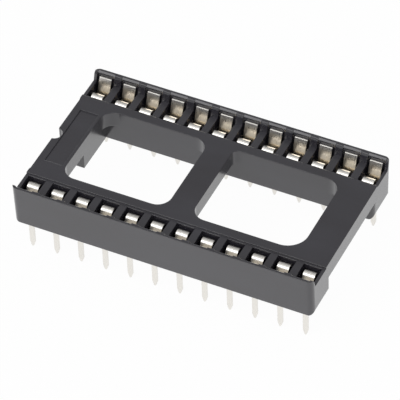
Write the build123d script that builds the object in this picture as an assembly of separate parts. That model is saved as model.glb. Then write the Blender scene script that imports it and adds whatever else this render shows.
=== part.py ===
from build123d import *
import os

# Open-frame dual-in-line socket, 24 ways, 15.24 mm between the rows.
# Frame: X runs along the rows, away from the end with the polarity notch, and Z is up.
# The origin is the centre of the pin grid, on the plane where the housing meets the board.
# All sizes are in millimetres.

# Pin grid
pin_pitch = 2.54
row_spacing = 15.24
pins_per_row = 12

# Row blocks, which carry the contacts
deck_height = 3.65
row_drop = 0.17  # the contact rows lie this much below the deck
row_ledge = 0.17  # contact cavities to the edge of the deck
outer_wall = 0.215  # outside the cavities
inner_wall = 1.14  # between the cavities and the windows
end_rib = 0.31  # last cavity to the end face
end_radius = 0.55  # round the corners and the bottom edge of each end face

# Raised outer wall of each row block
wall_rise = 0.84  # above the deck
wall_lean = 0.17  # the outer face leans out by this much from the board to the top
wall_top_thickness = 0.35
wall_foot_thickness = 0.58
wall_bevel_width = 0.17
wall_bevel_height = 0.26

# Contact cavities
cavity_width = 1.80
cavity_lead_in = 0.16
floor_thickness = 0.80
leaf_clearance = 0.01  # outer leaf to the outer wall
roll_clearance = 0.13  # inner leaf's roll to the inner wall

# Bars that tie the two row blocks together
notch_bar_width = 2.98
notch_bar_inset = 0.07  # its end face behind the blocks' end faces
plain_bar_width = 3.11
crossbar_width = 2.50
crossbar_shift = -0.15
notch_bar_thickness = 1.65
plain_bar_thickness = 1.75
crossbar_thickness = 1.55
window_radius = 1.40
tight_window_radius = 0.70
wide_window_radius = 2.00

# Polarity notch, marking recess and the foot under the notched bar
notch_radius = 0.75
notch_depth = 0.67
recess_length = 7.40
recess_width = 1.90
recess_shift = 0.10
recess_border = 0.30
recess_depth = 0.12
foot_length = 4.88
foot_thickness = 0.90
foot_clearance = 0.33  # underside of the foot above the board

# Contact stamping
strip = 0.20
outer_leaf_width = 1.25
inner_leaf_width = 1.15
lead_gap = 0.18  # gap between the leaves where they grip a lead
outer_leaf_offset = 0.705  # middle of the strip to the row centreline
outer_leaf_top = 4.01
tip_bevel = 0.06  # coined on the outer leaf's tip, to guide a lead in
inner_leaf_offset = 0.575  # middle of the strip to the row centreline
pinch_height = 2.20
grip_top = 2.75  # the outer leaf runs along the lead from the pinch to here
roll_radius = 0.40  # to the middle of the strip
roll_offset = 1.10
roll_height = 2.83
roll_lean = 30.0  # degrees off vertical, where the inner leaf rises into its roll
roll_turn = 117.0
leaf_bend_inside = 0.10
sleeve_height = 0.55
sleeve_bend_inside = 0.12
sleeve_gap = 0.05  # between the sleeve and the flat run of the tail below it
sleeve_clearance = 0.02
barb_height = 0.20

# Solder tail
tail_width = 0.50
tail_length = 3.68  # below the board seat
tail_point_length = 0.55
tail_point_width = 0.14
tail_bend_inside = 0.03
slot_clearance = 0.05

# Worked-out sizes
row_run = pin_pitch * (pins_per_row - 1)
half_length = row_run / 2 + cavity_width / 2 + end_rib
cavity_outboard = outer_leaf_offset + strip / 2 + leaf_clearance
cavity_inboard = roll_offset + roll_radius + strip / 2 + roll_clearance
row_y = row_spacing / 2
block_outer_y = row_y + cavity_outboard + outer_wall
block_inner_y = row_y - cavity_inboard - inner_wall
deck_edge_y = row_y - cavity_inboard - row_ledge
row_top = deck_height - row_drop
wall_top = deck_height + wall_rise
sleeve_foot = floor_thickness + strip + sleeve_gap
sleeve_top = sleeve_foot + sleeve_height
leaf_bend = strip / 2 + leaf_bend_inside
pin_x = [pin_pitch * (i - (pins_per_row - 1) / 2) for i in range(pins_per_row)]
cut_margin = 1.0  # how far a cutting tool runs past the face that it cuts


def slab(x0, x1, y0, y1, z0, z1):
    """A plain block between two corners."""
    return Pos((x0 + x1) / 2, (y0 + y1) / 2, (z0 + z1) / 2) * Box(x1 - x0, y1 - y0, z1 - z0)


def along_x(section, x0, x1):
    """Extrude an outline, given as (y, z) points, from x0 to x1."""
    face = Plane.YZ * make_face(Polyline(*section, close=True))
    return Pos(x0, 0, 0) * extrude(face, x1 - x0, dir=(1, 0, 0))


def row_block():
    """Solid of the row at +Y, with its raised wall, before the cavities are cut."""
    bevel_top_y = block_outer_y + wall_lean - wall_top_thickness
    section = [
        (block_inner_y, 0),
        (block_outer_y, 0),
        (block_outer_y + wall_lean, wall_top),
        (bevel_top_y, wall_top),
        (bevel_top_y - wall_bevel_width, wall_top - wall_bevel_height),
        (block_outer_y - wall_foot_thickness, row_top),
        (deck_edge_y, row_top),
        (deck_edge_y, deck_height),
        (block_inner_y, deck_height),
    ]
    block = along_x(section, -half_length, half_length)
    end_edges = block.faces().filter_by(Axis.X).edges()
    outer_corners = end_edges.group_by(Axis.Y)[-1]
    inner_corners = end_edges.group_by(Axis.Y)[0]
    bottom_edges = end_edges.group_by(Axis.Z)[0]
    return fillet(outer_corners + inner_corners + bottom_edges, end_radius)


def contact_cavity():
    """Cutter for one contact: the pocket with its lead-in, and the slot for the tail."""
    pocket = slab(
        -cavity_width / 2,
        cavity_width / 2,
        -cavity_inboard,
        cavity_outboard,
        floor_thickness,
        wall_top + cut_margin,
    )
    lead_in_section = [
        (cavity_outboard, wall_top - cavity_lead_in),
        (cavity_outboard + cavity_lead_in + cut_margin, wall_top + cut_margin),
        (cavity_outboard, wall_top + cut_margin),
    ]
    lead_in = along_x(lead_in_section, -cavity_width / 2, cavity_width / 2)
    slot_x = tail_width / 2 + slot_clearance
    slot_y = strip / 2 + slot_clearance
    slot = slab(-slot_x, slot_x, -slot_y, slot_y, -cut_margin, floor_thickness + cut_margin)
    return pocket + lead_in + slot


def window(x0, x1, radii):
    """Cutter for one window of the frame. The radii go round from its corner at -X and +Y by +X."""
    half_x = (x1 - x0) / 2
    half_y = block_inner_y
    corners = [(-half_x, half_y), (half_x, half_y), (half_x, -half_y), (-half_x, -half_y)]
    outline = Rectangle(2 * half_x, 2 * half_y)
    for corner, radius in zip(corners, radii):
        outline = fillet(outline.vertices().sort_by_distance(corner)[0], radius)
    return Pos((x0 + x1) / 2, 0, -cut_margin) * extrude(outline, wall_top + 2 * cut_margin)


def frame_bars():
    """The two end bars and the crossbar, between the row blocks."""
    reach = block_inner_y + end_radius  # the bars fill the blocks' rounded inner corners
    notch_bar_end = -half_length + notch_bar_inset
    notch_bar_inner = -half_length + notch_bar_width
    plain_bar_inner = half_length - plain_bar_width
    crossbar_left = crossbar_shift - crossbar_width / 2
    crossbar_right = crossbar_shift + crossbar_width / 2
    left_middle = (notch_bar_inner + crossbar_left) / 2
    right_middle = (crossbar_right + plain_bar_inner) / 2
    spans = [
        (notch_bar_end, left_middle, notch_bar_thickness),
        (left_middle, right_middle, crossbar_thickness),
        (right_middle, half_length, plain_bar_thickness),
    ]
    bars = Part()
    for x0, x1, thickness in spans:
        bars += slab(x0, x1, -reach, reach, deck_height - thickness, deck_height)
    second_radii = (tight_window_radius, window_radius, wide_window_radius, window_radius)
    bars -= window(notch_bar_inner, crossbar_left, 4 * (window_radius,))
    bars -= window(crossbar_right, plain_bar_inner, second_radii)

    foot = slab(
        notch_bar_inner - foot_thickness,
        notch_bar_inner,
        block_inner_y - foot_length,
        block_inner_y,
        foot_clearance,
        deck_height - notch_bar_thickness,
    )
    notch_x = notch_bar_end + notch_depth - notch_radius
    notch = Pos(notch_x, 0, deck_height / 2) * Cylinder(notch_radius, deck_height + cut_margin)
    recess_right = notch_bar_inner - recess_border
    recess = slab(
        recess_right - recess_width,
        recess_right,
        recess_shift - recess_length / 2,
        recess_shift + recess_length / 2,
        deck_height - recess_depth,
        deck_height + cut_margin,
    )
    return bars + foot - notch - recess


def place(shape, x, side):
    """Stand a shape drawn about a row's centreline at pin x, in the row at side +1 or -1."""
    facing = shape if side > 0 else mirror(shape, about=Plane.XZ)
    return Pos(x, side * row_y, 0) * facing


def housing():
    """The one-piece moulded frame."""
    rear = row_block()
    body = rear + mirror(rear, about=Plane.XZ) + frame_bars()
    cavity = contact_cavity()
    cutters = [place(cavity, x, side) for side in (-1, 1) for x in pin_x]
    return body - cutters


def formed_strip(path, width):
    """Strip bent along a path of (y, z) points, centred on the path and on x = 0."""
    return extrude(Plane.YZ * trace(path, strip), width / 2, dir=(1, 0, 0), both=True)


def outer_leaf():
    """The tall leaf beside the raised wall."""
    grip = lead_gap / 2 + strip / 2
    path = FilletPolyline(
        (outer_leaf_offset, sleeve_top - leaf_bend),
        (outer_leaf_offset, sleeve_top),
        (grip, pinch_height),
        (grip, grip_top),
        (outer_leaf_offset, outer_leaf_top),
        radius=leaf_bend,
    )
    leaf = formed_strip(path, outer_leaf_width)
    inboard_tip_edge = leaf.edges().group_by(Axis.Z)[-1]
    return chamfer(inboard_tip_edge, tip_bevel)


def inner_leaf():
    """The lower leaf, rolled over towards the middle of the socket as a lead-in."""
    grip = lead_gap / 2 + strip / 2
    side_step = Vector(1, 0).rotate(Axis.Z, roll_lean) * roll_radius
    lower = FilletPolyline(
        (-inner_leaf_offset, sleeve_top - leaf_bend),
        (-inner_leaf_offset, sleeve_top),
        (-grip, pinch_height),
        Vector(-roll_offset, roll_height) + side_step,
        radius=leaf_bend,
    )
    roll = JernArc(start=lower @ 1, tangent=lower % 1, radius=roll_radius, arc_size=roll_turn)
    return formed_strip(lower + roll, inner_leaf_width)


def sleeve():
    """Folded middle of the contact, which joins the leaves and locates it in the cavity."""
    half_width = cavity_width / 2 - sleeve_clearance
    web_x = half_width - strip / 2
    path = FilletPolyline(
        (-half_width, outer_leaf_offset),
        (web_x, outer_leaf_offset),
        (web_x, -inner_leaf_offset),
        (-half_width, -inner_leaf_offset),
        radius=strip / 2 + sleeve_bend_inside,
    )
    folded = Pos(0, 0, sleeve_foot) * extrude(trace(path, strip), sleeve_height)
    barb_outline = Polyline(
        (-half_width, sleeve_foot),
        (-cavity_width / 2, sleeve_foot + barb_height),
        (-half_width, sleeve_foot + barb_height),
        close=True,
    )
    barb = extrude(Plane.XZ * make_face(barb_outline), strip / 2, both=True)
    return folded + Pos(0, outer_leaf_offset, 0) * barb + Pos(0, -inner_leaf_offset, 0) * barb


def solder_tail():
    """Tail that leaves the outer plate, crosses the cavity floor and drops through its slot."""
    path = FilletPolyline(
        (outer_leaf_offset, sleeve_foot + sleeve_height / 2),
        (outer_leaf_offset, floor_thickness + strip / 2),
        (0, floor_thickness + strip / 2),
        (0, -tail_length),
        radius=strip / 2 + tail_bend_inside,
    )
    blank = formed_strip(path, tail_width)
    outline = Polyline(
        (-tail_width, sleeve_top),
        (-tail_width, -tail_length + tail_point_length),
        (-tail_width / 2, -tail_length + tail_point_length),
        (-tail_point_width / 2, -tail_length),
        (tail_point_width / 2, -tail_length),
        (tail_width / 2, -tail_length + tail_point_length),
        (tail_width, -tail_length + tail_point_length),
        (tail_width, sleeve_top),
        close=True,
    )
    return blank & extrude(Plane.XZ * make_face(outline), row_spacing / 2, both=True)


def contact():
    """One contact, stamped and folded from a single strip."""
    return sleeve() + outer_leaf() + inner_leaf() + solder_tail()


os.makedirs("parts", exist_ok=True)
export_step(housing(), "parts/housing.step")

# Pin 1 is at the notched end of the row at -Y, and the count runs round the socket.
stamping = contact()
stations = [(x, -1) for x in pin_x] + [(x, 1) for x in reversed(pin_x)]
for number, (x, side) in enumerate(stations, start=1):
    export_step(place(stamping, x, side), f"parts/contact_{number:02d}.step")
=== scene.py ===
"""Finishes, studio and camera for an open-frame dual-in-line socket.

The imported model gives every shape. This file gives the moulded housing and the tin-plated contacts
their surfaces, shades the edges that moulding and stamping leave rounded, and sets up the studio.
"""

import math

import bpy
from bpy.props import FloatProperty, FloatVectorProperty, PointerProperty
from bpy.types import Operator, Panel, PropertyGroup
from mathutils import Matrix, Vector


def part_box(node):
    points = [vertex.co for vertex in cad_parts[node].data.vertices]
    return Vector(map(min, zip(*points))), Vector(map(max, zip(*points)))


bl_info = {
    "name": "Dual-in-line socket finishes",
    "version": (1, 0, 0),
    "blender": (4, 5, 0),
    "location": "View3D > Sidebar > Socket",
    "description": "Moulded and plated finishes, studio and camera for an open-frame chip socket",
    "category": "Object",
}

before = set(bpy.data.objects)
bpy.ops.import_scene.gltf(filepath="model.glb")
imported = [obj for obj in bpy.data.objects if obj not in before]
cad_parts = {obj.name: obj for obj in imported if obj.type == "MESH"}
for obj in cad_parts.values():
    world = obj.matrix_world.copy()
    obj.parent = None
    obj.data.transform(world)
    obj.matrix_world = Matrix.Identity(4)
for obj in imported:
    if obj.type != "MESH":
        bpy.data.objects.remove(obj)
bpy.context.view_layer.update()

# Lengths are in metres and angles in radians.
MM = 0.001
DEGREE = math.radians(1.0)

HOUSING = "housing"
CONTACTS = sorted(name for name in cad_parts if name.startswith("contact_"))
ROW_Y = 7.62 * MM  # from the middle to each row of contacts
BOARD_Z = 0.0  # the board's face, which the housing stands on
FLOOR_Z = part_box(CONTACTS[0])[0][2]  # the tips of the tails

# Most of a Noise Texture's values lie between these two.
NOISE_LOW = 0.3
NOISE_HIGH = 0.7
ROUGHNESS_SWING = 0.04  # up and down, with the pattern of a surface
EDGE_SAMPLES = 8

# How open a point of the housing is to its surroundings, as a share. An inner corner is below the first,
# and a face or an outer edge is above the second.
CORNER_OPENNESS = 0.8
FACE_OPENNESS = 0.95
POLYESTER_IOR = 1.6

# The painted shade on a contact is a warmer tint of thin plate on the tall leaf below its top. It starts
# beside the row's line and fades in below the leaf's top.
SHADE_ONSET = 0.1 * MM
SHADE_FADE = 0.4 * MM

# Sockets of a Mix node share their names, so they are picked by place.
MIX_FACTOR = 0
MIX_VECTOR_A = 4
MIX_VECTOR_B = 5
MIX_VECTOR_RESULT = 1
MIX_COLOUR_A = 6
MIX_COLOUR_B = 7
MIX_COLOUR_RESULT = 2

WHITE = (1.0, 1.0, 1.0, 1.0)
TABLE_SIZE = 4.0
SOFTBOX_DISTANCE = 0.6
SENSOR_WIDTH = 36.0  # in mm, as a camera takes it
CLIP_START = 10.0 * MM

# The backdrop's middle, and the cosines of the angles from it where its light ends and where it is full.
BACKDROP_AZIMUTH = 180.0 * DEGREE
BACKDROP_ELEVATION = -20.0 * DEGREE
BACKDROP_DARK = -0.6
BACKDROP_FULL = 0.9


def linear(hex_colour):
    """An sRGB hex colour, such as "303032", as linear red, green and blue."""
    shares = [int(hex_colour[start : start + 2], 16) / 255 for start in (0, 2, 4)]
    return [
        share / 12.92 if share <= 0.04045 else ((share + 0.055) / 1.055) ** 2.4 for share in shares
    ]


def rgba(colour):
    """A colour property as the four numbers that a node's socket takes."""
    return (*colour, 1.0)


def add_node(tree, kind, settings=None, values=None, links=None):
    """Add a node with its settings. Values and links go to its inputs by name or by place."""
    node = tree.nodes.new("ShaderNode" + kind)
    for name, value in (settings or {}).items():
        setattr(node, name, value)
    for socket, value in (values or {}).items():
        node.inputs[socket].default_value = value
    for socket, source in (links or {}).items():
        tree.links.new(source, node.inputs[socket])
    return node


def new_material(name):
    """A material with an empty node tree."""
    material = bpy.data.materials.new(name)
    material.use_nodes = True
    material.node_tree.nodes.clear()
    return material


def noise_pattern(tree, position, sizes, detail):
    """Noise whose patches measure about the given sizes along X, Y and Z."""
    mapping = add_node(
        tree, "Mapping", values={"Scale": [1 / size for size in sizes]}, links={"Vector": position}
    )
    texture = add_node(
        tree, "TexNoise", values={"Scale": 1.0, "Detail": detail}, links={"Vector": mapping.outputs["Vector"]}
    )
    return texture.outputs["Fac"]


def moulded_plastic(finish):
    """Black glass-filled polyester, as moulded.

    Steel-smooth faces give it a low gloss that mirrors the table, and fibres near the skin mottle it.
    """
    material = new_material("moulded_glass_filled_polyester")
    tree = material.node_tree
    position = add_node(tree, "TexCoord").outputs["Object"]
    grain = noise_pattern(tree, position, 3 * (finish.grain_size,), detail=2.0)
    flow_sizes = (finish.flow_length, finish.flow_width, finish.flow_width)
    flow = noise_pattern(tree, position, flow_sizes, detail=3.0)
    paleness = add_node(
        tree, "MapRange", values={"From Min": NOISE_LOW, "From Max": NOISE_HIGH}, links={"Value": flow}
    )
    colour = add_node(
        tree,
        "Mix",
        settings={"data_type": "RGBA"},
        values={MIX_COLOUR_A: rgba(finish.colour), MIX_COLOUR_B: rgba(finish.pale_colour)},
        links={MIX_FACTOR: paleness.outputs["Result"]},
    )
    roughness = add_node(
        tree,
        "MapRange",
        values={
            "From Min": NOISE_LOW,
            "From Max": NOISE_HIGH,
            "To Min": finish.roughness - ROUGHNESS_SWING,
            "To Max": finish.roughness + ROUGHNESS_SWING,
        },
        links={"Value": flow},
    )
    # Outer edges are rounded. Inner corners, which a tool leaves sharp, are told apart by their shade.
    rounded = add_node(
        tree, "Bevel", settings={"samples": EDGE_SAMPLES}, values={"Radius": finish.edge_radius}
    )
    flat = add_node(tree, "NewGeometry")
    shade = add_node(
        tree,
        "AmbientOcclusion",
        settings={"samples": EDGE_SAMPLES},
        values={"Distance": finish.edge_radius},
    )
    outer = add_node(
        tree,
        "MapRange",
        values={"From Min": CORNER_OPENNESS, "From Max": FACE_OPENNESS},
        links={"Value": shade.outputs["AO"]},
    )
    edges = add_node(
        tree,
        "Mix",
        settings={"data_type": "VECTOR"},
        links={
            MIX_FACTOR: outer.outputs["Result"],
            MIX_VECTOR_A: flat.outputs["Normal"],
            MIX_VECTOR_B: rounded.outputs["Normal"],
        },
    )
    bump = add_node(
        tree,
        "Bump",
        values={"Strength": finish.grain_strength, "Distance": finish.grain_height},
        links={"Height": grain, "Normal": edges.outputs[MIX_VECTOR_RESULT]},
    )
    shader = add_node(
        tree,
        "BsdfPrincipled",
        values={"IOR": POLYESTER_IOR, "Coat Weight": finish.skin, "Coat Roughness": finish.roughness},
        links={
            "Base Color": colour.outputs[MIX_COLOUR_RESULT],
            "Roughness": roughness.outputs["Result"],
            "Normal": bump.outputs["Normal"],
            "Coat Normal": bump.outputs["Normal"],
        },
    )
    add_node(tree, "OutputMaterial", links={"Surface": shader.outputs["BSDF"]})
    return material


def painted_shade_zone(tree, position, finish):
    """1 on the tall leaves' side of the contacts, from the board up to the top of their painted shade, and 0
    elsewhere.
    """
    axes = add_node(tree, "SeparateXYZ", links={"Vector": position})
    from_middle = add_node(tree, "Math", settings={"operation": "ABSOLUTE"}, links={0: axes.outputs["Y"]})
    outboard = add_node(
        tree,
        "MapRange",
        values={"From Min": ROW_Y, "From Max": ROW_Y + SHADE_ONSET},
        links={"Value": from_middle.outputs["Value"]},
    )
    below_top = add_node(
        tree,
        "MapRange",
        values={"From Min": finish.shade_top, "From Max": finish.shade_top - SHADE_FADE},
        links={"Value": axes.outputs["Z"]},
    )
    above_board = add_node(
        tree,
        "Math",
        settings={"operation": "GREATER_THAN"},
        values={1: BOARD_Z},
        links={0: axes.outputs["Z"]},
    )
    inside = add_node(
        tree,
        "Math",
        settings={"operation": "MULTIPLY"},
        links={0: outboard.outputs["Result"], 1: below_top.outputs["Result"]},
    )
    zone = add_node(
        tree,
        "Math",
        settings={"operation": "MULTIPLY"},
        links={0: inside.outputs["Value"], 1: above_board.outputs["Value"]},
    )
    return zone.outputs["Value"]


def plated_strip(finish):
    """Bright tin plate on phosphor bronze strip.

    Tin is a warm white metal. Rolling leaves fine lines along the strip. The tall leaves are painted in shade
    below their tops with a warmer tint of thin plate, and the plating's soft patches vary that tint.
    """
    material = new_material("bright_tin_plated_phosphor_bronze")
    tree = material.node_tree
    position = add_node(tree, "TexCoord").outputs["Object"]
    patches = noise_pattern(tree, position, 3 * (finish.patch_size,), detail=2.0)
    line_sizes = (finish.line_spacing, finish.line_length, finish.line_length)
    lines = noise_pattern(tree, position, line_sizes, detail=2.0)
    patchiness = add_node(
        tree,
        "MapRange",
        values={"From Min": NOISE_LOW, "From Max": NOISE_HIGH, "To Min": finish.least_shade},
        links={"Value": patches},
    )
    # Painted shade: below their tops, the tall leaves get the warmer tint of thin plate, more strongly in the
    # soft patches.
    thinness_and_shade = add_node(
        tree,
        "Math",
        settings={"operation": "MULTIPLY"},
        links={0: patchiness.outputs["Result"], 1: painted_shade_zone(tree, position, finish)},
    )
    colour = add_node(
        tree,
        "Mix",
        settings={"data_type": "RGBA"},
        values={MIX_COLOUR_A: rgba(finish.colour), MIX_COLOUR_B: rgba(finish.thin_plate_shade_colour)},
        links={MIX_FACTOR: thinness_and_shade.outputs["Value"]},
    )
    roughness = add_node(
        tree,
        "MapRange",
        values={
            "From Min": NOISE_LOW,
            "From Max": NOISE_HIGH,
            "To Min": finish.roughness - ROUGHNESS_SWING,
            "To Max": finish.roughness + ROUGHNESS_SWING,
        },
        links={"Value": lines},
    )
    edges = add_node(
        tree, "Bevel", settings={"samples": EDGE_SAMPLES}, values={"Radius": finish.edge_radius}
    )
    bump = add_node(
        tree,
        "Bump",
        values={"Strength": finish.line_strength, "Distance": finish.line_depth},
        links={"Height": lines, "Normal": edges.outputs["Normal"]},
    )
    shader = add_node(
        tree,
        "BsdfPrincipled",
        values={"Metallic": 1.0},
        links={
            "Base Color": colour.outputs[MIX_COLOUR_RESULT],
            "Roughness": roughness.outputs["Result"],
            "Normal": bump.outputs["Normal"],
        },
    )
    add_node(tree, "OutputMaterial", links={"Surface": shader.outputs["BSDF"]})
    return material


def white_table(look):
    """Matt white table that the camera and mirrors see as white, with a faint shadow of the socket."""
    material = new_material("matt_white_table")
    tree = material.node_tree
    matt = add_node(tree, "BsdfDiffuse", values={"Color": rgba(look.table_colour)})
    white = add_node(tree, "Emission", values={"Color": WHITE, "Strength": 1.0})
    path = add_node(tree, "LightPath")
    seen = add_node(
        tree,
        "Math",
        settings={"operation": "MAXIMUM"},
        links={0: path.outputs["Is Camera Ray"], 1: path.outputs["Is Glossy Ray"]},
    )
    whiteness = add_node(
        tree,
        "MapRange",
        values={"To Min": look.table_reflection, "To Max": look.table_whiteness},
        links={"Value": path.outputs["Is Camera Ray"]},
    )
    share = add_node(
        tree,
        "Math",
        settings={"operation": "MULTIPLY"},
        links={0: seen.outputs["Value"], 1: whiteness.outputs["Result"]},
    )
    mix = add_node(
        tree,
        "MixShader",
        links={0: share.outputs["Value"], 1: matt.outputs["BSDF"], 2: white.outputs["Emission"]},
    )
    add_node(tree, "OutputMaterial", links={"Surface": mix.outputs["Shader"]})
    return material


def dress(node, material):
    """Give a node its material."""
    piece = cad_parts[node]
    piece.data.materials.clear()
    piece.data.materials.append(material)


def aim(holder, location, target):
    """Stand a lamp or camera at a place and turn it to face a target."""
    direction = Vector(target) - Vector(location)
    turn = direction.to_track_quat("-Z", "Y").to_matrix().to_4x4()
    holder.matrix_world = Matrix.Translation(location) @ turn


def spherical(azimuth, elevation, distance):
    """A point at a distance in a direction: azimuth 0 is in front, at -Y, and a quarter turn is at +X."""
    flat = math.cos(elevation) * distance
    return Vector((math.sin(azimuth) * flat, -math.cos(azimuth) * flat, math.sin(elevation) * distance))


def softbox(context, name, azimuth, elevation, width, height, radiance):
    """A rectangular softbox that faces the socket. Sizes are in metres."""
    data = bpy.data.lights.new(name, "AREA")
    data.shape = "RECTANGLE"
    data.size = width
    data.size_y = height
    data.energy = radiance * math.pi * width * height
    lamp = bpy.data.objects.new(name, data)
    context.scene.collection.objects.link(lamp)
    aim(lamp, spherical(azimuth, elevation, SOFTBOX_DISTANCE), (0.0, 0.0, 0.0))


def colour_property(name, description, hex_colour):
    """A colour in the panel."""
    return FloatVectorProperty(
        name=name,
        description=description,
        subtype="COLOR",
        size=3,
        min=0.0,
        max=1.0,
        default=linear(hex_colour),
    )


def length_property(name, description, default, smallest, largest):
    """A length in the panel. All three lengths are in metres."""
    return FloatProperty(
        name=name,
        description=description,
        unit="LENGTH",
        precision=6,
        min=smallest,
        max=largest,
        default=default,
    )


def share_property(name, description, default, smallest=0.0):
    """A share in the panel, up to 1."""
    return FloatProperty(
        name=name, description=description, subtype="FACTOR", min=smallest, max=1.0, default=default
    )


def angle_property(name, description, default):
    """An angle in the panel, in radians."""
    return FloatProperty(name=name, description=description, subtype="ANGLE", default=default)


class HousingFinish(PropertyGroup):
    """Sizes and colours of the moulded housing."""

    colour: colour_property("Colour", "Colour of the plastic", "2b292f")
    pale_colour: colour_property("Pale colour", "Colour where fibres lie close to the skin", "313037")
    roughness: share_property("Roughness", "Roughness of the skin", 0.22, smallest=0.08)
    skin: share_property("Skin", "Share of the resin-rich skin's own reflection", 0.72)
    # A smooth tool's real grain is too fine to show, so it is drawn about a pixel wide.
    grain_size: length_property("Grain size", "Size of the tool's grain", 0.12 * MM, 0.01 * MM, 1.0 * MM)
    grain_height: length_property("Grain height", "Height of the tool's grain", 0.004 * MM, 0.0, 0.05 * MM)
    grain_strength: share_property("Grain strength", "Share of the grain that shows", 0.5)
    flow_width: length_property("Flow mark width", "Width of the flow marks", 2.5 * MM, 0.1 * MM, 20.0 * MM)
    flow_length: length_property(
        "Flow mark length", "Length of the flow marks along the rows", 7.143 * MM, 0.1 * MM, 60.0 * MM
    )
    edge_radius: length_property("Edge radius", "Rounding of moulded edges", 0.1 * MM, 0.0, 0.3 * MM)


class ContactFinish(PropertyGroup):
    """Sizes and colours of the plated contacts."""

    colour: colour_property("Colour", "Colour of the tin plate", "f0ede7")
    # Painted shade: the tall leaves take this tint of thin plate over the bronze below their tops.
    thin_plate_shade_colour: colour_property("Thin plate shade colour", "Colour of thin plate over the bronze, painted as shade on the tall leaves", "efe3cf")
    roughness: share_property("Roughness", "Roughness of the plate", 0.3, smallest=0.08)
    # Top of the painted shade on the tall leaves.
    shade_top: length_property(
        "Shade top", "Height above the board below which the tall leaves are painted in shade", 3.9 * MM, 0.0, 5.0 * MM
    )
    least_shade: share_property("Least shade", "Share of the shade colour where the patches are faintest", 0.7)
    patch_size: length_property(
        "Patch size", "Size of the plating's soft patches", 0.7 * MM, 0.05 * MM, 5.0 * MM
    )
    # Real rolling lines are too fine to show, so they are drawn nearly a pixel apart.
    line_spacing: length_property(
        "Line spacing", "Spacing of the rolling lines", 0.08 * MM, 0.01 * MM, 1.0 * MM
    )
    line_length: length_property("Line length", "Length of the rolling lines", 1.0 * MM, 0.1 * MM, 10.0 * MM)
    line_depth: length_property("Line depth", "Depth of the rolling lines", 0.003 * MM, 0.0, 0.05 * MM)
    line_strength: share_property("Line strength", "Share of the rolling lines that shows", 0.1)
    edge_radius: length_property("Edge radius", "Rounding of stamped edges", 0.03 * MM, 0.0, 0.1 * MM)


class StudioLook(PropertyGroup):
    """Light, table and camera."""

    table_colour: colour_property("Table colour", "Colour of the matt table", "f4f4f4")
    table_whiteness: share_property("Table whiteness", "How far the camera sees the table as white", 0.97)
    table_reflection: share_property(
        "Table reflection", "How far the socket's faces see the table as white", 0.85
    )
    room_light: share_property("Room light", "Brightness of the room in front and above", 0.12)
    backdrop_light: share_property("Backdrop light", "Brightness of the backdrop low behind", 0.95)
    backdrop_fade: FloatProperty(
        name="Backdrop fade",
        description="How fast the backdrop darkens upwards",
        min=1.0,
        max=8.0,
        default=2.8,
    )
    camera_azimuth: angle_property("Camera azimuth", "Round from the front, towards +X", 27.281 * DEGREE)
    camera_elevation: angle_property("Camera elevation", "Angle above the table", 44.743 * DEGREE)
    camera_roll: angle_property("Camera roll", "Tilt of the horizon", -2.385 * DEGREE)
    camera_distance: length_property(
        "Camera distance", "Distance to the point aimed at", 347.88 * MM, 50.0 * MM, 2000.0 * MM
    )
    camera_target: FloatVectorProperty(
        name="Camera target",
        description="Point that the camera aims at",
        subtype="TRANSLATION",
        size=3,
        default=(-0.601 * MM, 0.734 * MM, 0.0),
    )
    focal_length: FloatProperty(
        name="Focal length", description="Focal length of the lens", unit="CAMERA", default=336.9, min=1.0
    )


class SOCKET_OT_finish_housing(Operator):
    """Give the moulded housing its finish"""

    bl_idname = "socket.finish_housing"
    bl_label = "Finish housing"

    def execute(self, context):
        finish = context.scene.socket_housing
        dress(HOUSING, moulded_plastic(finish))
        return {"FINISHED"}


class SOCKET_OT_finish_contacts(Operator):
    """Give the stamped contacts their plated finish"""

    bl_idname = "socket.finish_contacts"
    bl_label = "Finish contacts"

    def execute(self, context):
        finish = context.scene.socket_contacts
        plate = plated_strip(finish)
        for node in CONTACTS:
            dress(node, plate)
        return {"FINISHED"}


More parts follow.
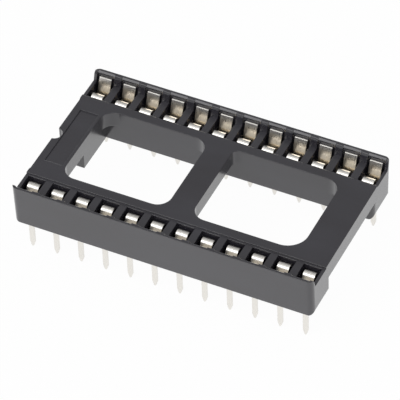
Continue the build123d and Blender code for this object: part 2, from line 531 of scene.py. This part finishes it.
class SOCKET_OT_set_stage(Operator):
    """Set up the table, the light and the camera"""

    bl_idname = "socket.set_stage"
    bl_label = "Set stage"

    def execute(self, context):
        look = context.scene.socket_studio
        self.lay_table(context, look)
        self.light_room(context, look)
        self.hang_softboxes(context)
        self.stand_camera(context, look)
        context.scene.view_settings.view_transform = "Standard"
        return {"FINISHED"}

    def lay_table(self, context, look):
        """A wide white table under the tips of the tails."""
        bpy.ops.mesh.primitive_plane_add(size=TABLE_SIZE, location=(0.0, 0.0, FLOOR_Z))
        table = context.object
        table.name = "table"
        table.data.materials.append(white_table(look))

    def light_room(self, context, look):
        """A backdrop that is bright low behind and fades upwards. The camera sees it as white."""
        world = bpy.data.worlds.new("pale_room")
        world.use_nodes = True
        context.scene.world = world
        tree = world.node_tree
        tree.nodes.clear()
        direction = add_node(tree, "TexCoord")
        backdrop = add_node(
            tree,
            "VectorMath",
            settings={"operation": "DOT_PRODUCT"},
            values={1: spherical(BACKDROP_AZIMUTH, BACKDROP_ELEVATION, 1.0)},
            links={0: direction.outputs["Generated"]},
        )
        nearness = add_node(
            tree,
            "MapRange",
            values={"From Min": BACKDROP_DARK, "From Max": BACKDROP_FULL},
            links={"Value": backdrop.outputs["Value"]},
        )
        glow = add_node(
            tree,
            "Math",
            settings={"operation": "POWER"},
            values={1: look.backdrop_fade},
            links={0: nearness.outputs["Result"]},
        )
        strength = add_node(
            tree,
            "MapRange",
            values={"To Min": look.room_light, "To Max": look.backdrop_light},
            links={"Value": glow.outputs["Value"]},
        )
        room = add_node(
            tree, "Background", values={"Color": WHITE}, links={"Strength": strength.outputs["Result"]}
        )
        white = add_node(tree, "Background", values={"Color": WHITE, "Strength": 1.0})
        path = add_node(tree, "LightPath")
        mix = add_node(
            tree,
            "MixShader",
            links={
                0: path.outputs["Is Camera Ray"],
                1: room.outputs["Background"],
                2: white.outputs["Background"],
            },
        )
        add_node(tree, "OutputWorld", links={"Surface": mix.outputs["Shader"]})

    def hang_softboxes(self, context):
        """One softbox overhead, one above the front and one low at the right."""
        softbox(
            context,
            "overhead_softbox",
            azimuth=-60.0 * DEGREE,
            elevation=82.0 * DEGREE,
            width=0.7,
            height=0.6,
            radiance=0.6,
        )
        softbox(
            context,
            "front_softbox",
            azimuth=-15.0 * DEGREE,
            elevation=45.0 * DEGREE,
            width=0.8,
            height=0.5,
            radiance=2.1,
        )
        softbox(
            context,
            "right_softbox",
            azimuth=90.0 * DEGREE,
            elevation=25.0 * DEGREE,
            width=0.5,
            height=0.3,
            radiance=1.6,
        )

    def stand_camera(self, context, look):
        """A long lens at the photo's viewing angle."""
        data = bpy.data.cameras.new("camera")
        data.sensor_width = SENSOR_WIDTH
        data.lens = look.focal_length
        data.clip_start = CLIP_START
        camera = bpy.data.objects.new("camera", data)
        context.scene.collection.objects.link(camera)
        target = Vector(look.camera_target)
        place = target + spherical(look.camera_azimuth, look.camera_elevation, look.camera_distance)
        aim(camera, place, target)
        camera.matrix_world = camera.matrix_world @ Matrix.Rotation(look.camera_roll, 4, "Z")
        context.scene.camera = camera


class SOCKET_PT_panel(Panel):
    """Finishes and stage of the socket"""

    bl_label = "Socket"
    bl_idname = "SOCKET_PT_panel"
    bl_space_type = "VIEW_3D"
    bl_region_type = "UI"
    bl_category = "Socket"

    def draw(self, context):
        for settings, operator in (
            (context.scene.socket_housing, SOCKET_OT_finish_housing),
            (context.scene.socket_contacts, SOCKET_OT_finish_contacts),
            (context.scene.socket_studio, SOCKET_OT_set_stage),
        ):
            box = self.layout.box()
            for name in settings.__annotations__:
                box.prop(settings, name)
            box.operator(operator.bl_idname)


CLASSES = (
    HousingFinish,
    ContactFinish,
    StudioLook,
    SOCKET_OT_finish_housing,
    SOCKET_OT_finish_contacts,
    SOCKET_OT_set_stage,
    SOCKET_PT_panel,
)


def register():
    for cls in CLASSES:
        bpy.utils.register_class(cls)
    bpy.types.Scene.socket_housing = PointerProperty(type=HousingFinish)
    bpy.types.Scene.socket_contacts = PointerProperty(type=ContactFinish)
    bpy.types.Scene.socket_studio = PointerProperty(type=StudioLook)


def unregister():
    del bpy.types.Scene.socket_studio
    del bpy.types.Scene.socket_contacts
    del bpy.types.Scene.socket_housing
    for cls in reversed(CLASSES):
        bpy.utils.unregister_class(cls)


def main():
    register()
    bpy.ops.socket.finish_housing()
    bpy.ops.socket.finish_contacts()
    bpy.ops.socket.set_stage()
    bpy.context.view_layer.update()


if __name__ == "__main__":
    main()
